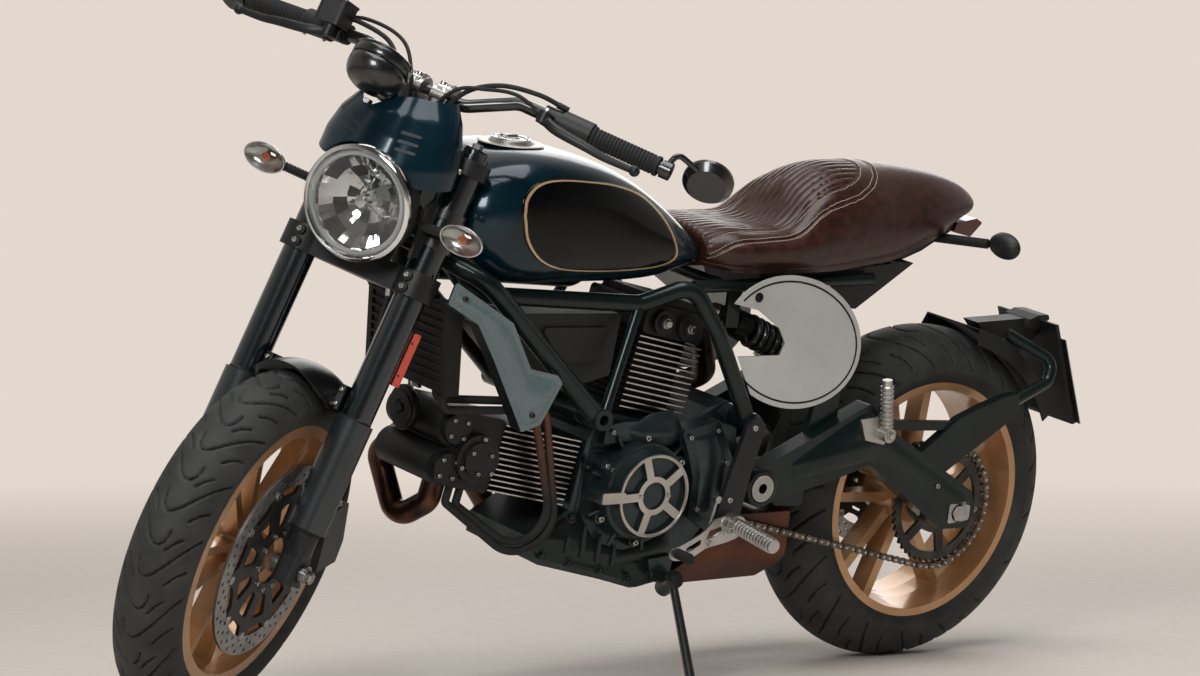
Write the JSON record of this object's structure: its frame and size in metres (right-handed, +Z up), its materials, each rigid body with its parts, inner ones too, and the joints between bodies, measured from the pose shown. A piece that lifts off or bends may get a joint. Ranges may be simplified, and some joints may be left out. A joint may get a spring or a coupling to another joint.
{
  "type": "cafe racer motorcycle",
  "caption": "Parked cafe racer motorcycle with a ribbed leather seat, trellis frame, upside-down fork, cast wheels and working steering, wheels and side stand.",
  "frame": {"origin": "middle of the machine's footprint on the floor, at floor height", "axes": "+X towards the front of the machine, +Y to the rider's left, +Z up from the floor; the machine leans to its left on the side stand"},
  "size_m": [2.0563, 0.8071, 1.2328],
  "materials": {
    "tyre": "matte",
    "wheel_gold": "satin",
    "disc_steel": "satin",
    "dark_steel": "satin",
    "chain_steel": "satin",
    "bare_steel": "satin",
    "black_cast": "satin",
    "bare_alloy": "satin",
    "black_metal": "gloss",
    "black_rubber": "matte",
    "black_plastic": "matte",
    "fork_dark": "gloss",
    "chrome": "polished",
    "guard_grey": "satin",
    "caliper_grey": "satin",
    "clear_lens": "gloss",
    "body_teal": "gloss",
    "black_gloss": "gloss",
    "frame_grey": "satin",
    "engine_grey": "satin",
    "cylinder_black": "satin",
    "cooler_black": "matte",
    "exhaust_brown": "satin",
    "exhaust_black": "satin",
    "seat_leather": "satin",
    "lamp_red": "gloss",
    "plate_white": "gloss",
    "blank_plate": "satin",
    "hose_copper": "satin"
  },
  "bodies": {
    "chassis": {"airbox": "black_plastic", "alternator_cover": "engine_grey", "belt_covers": "black_plastic", "chain": "chain_steel", "engine_cases": "engine_grey", "exhaust_box": "exhaust_brown", "exhaust_headers": "exhaust_brown", "foot_controls": "bare_alloy", "front_cylinder": "cylinder_black", "fuel_cap": "bare_alloy", "fuel_tank": "body_teal", "licence_plate": "blank_plate", "main_frame": "frame_grey", "oil_cooler": "cooler_black", "oil_hoses": "hose_copper", "passenger_pegs": "bare_alloy", "plate_holder": "black_plastic", "rear_axle": "bare_steel", "rear_caliper": "caliper_grey", "rear_cylinder": "cylinder_black", "rear_indicators": "black_plastic", "seat": "seat_leather", "shock": "bare_steel", "side_plates": "plate_white", "side_shrouds": "engine_grey", "silencers": "exhaust_black", "swingarm": "frame_grey", "swingarm_pivot": "bare_steel", "tail_light": "lamp_red", "undertray": "black_plastic"},
    "steering": {"front_axle": "bare_steel", "lower_yoke": "black_cast", "upper_yoke": "black_cast", "bar_clamp": "bare_alloy", "handlebar": "black_metal", "grips": "black_rubber", "bar_controls": "black_plastic", "levers": "black_metal", "mirrors": "black_metal", "fork_outers": "fork_dark", "fork_inners": "chrome", "fork_shoes": "black_cast", "fork_guards": "guard_grey", "front_caliper": "caliper_grey", "headlight_shell": "black_plastic", "headlight_lens": "clear_lens", "nose_cowl": "body_teal", "instrument": "black_plastic", "lamp_stays": "black_metal", "front_indicators": "clear_lens", "front_mudguard": "black_gloss"},
    "front_wheel_set": {"front_tyre": "tyre", "front_wheel": "wheel_gold", "front_disc": "disc_steel"},
    "rear_wheel_set": {"rear_tyre": "tyre", "rear_wheel": "wheel_gold", "rear_disc": "disc_steel", "rear_sprocket": "dark_steel"},
    "side_stand": {"side_stand": "black_metal"}
  },
  "joints": [
    {"name": "steering", "type": "hinge", "parent": "chassis", "child": "steering", "pos_m": [0.85517, -0.17253, -0.00676], "axis": [-0.3672, 0.1886, 0.9108], "range_deg": [-63.74, 0]},
    {"name": "front_wheel_spin", "type": "hinge", "parent": "steering", "child": "front_wheel_set", "pos_m": [0.75923, -0.09935, 0.28351], "axis": [-0.4911, 0.7923, -0.3621], "continuous": true},
    {"name": "rear_wheel_spin", "type": "hinge", "parent": "chassis", "child": "rear_wheel_set", "pos_m": [-0.67329, -0.10725, 0.30845], "axis": [0, 0.9792, -0.2028], "continuous": true},
    {"name": "side_stand", "type": "hinge", "parent": "chassis", "child": "side_stand", "pos_m": [-0.06075, -0.00548, 0.18345], "axis": [0.1207, 0.8916, 0.4364], "range_deg": [0, 90]}
  ]
}
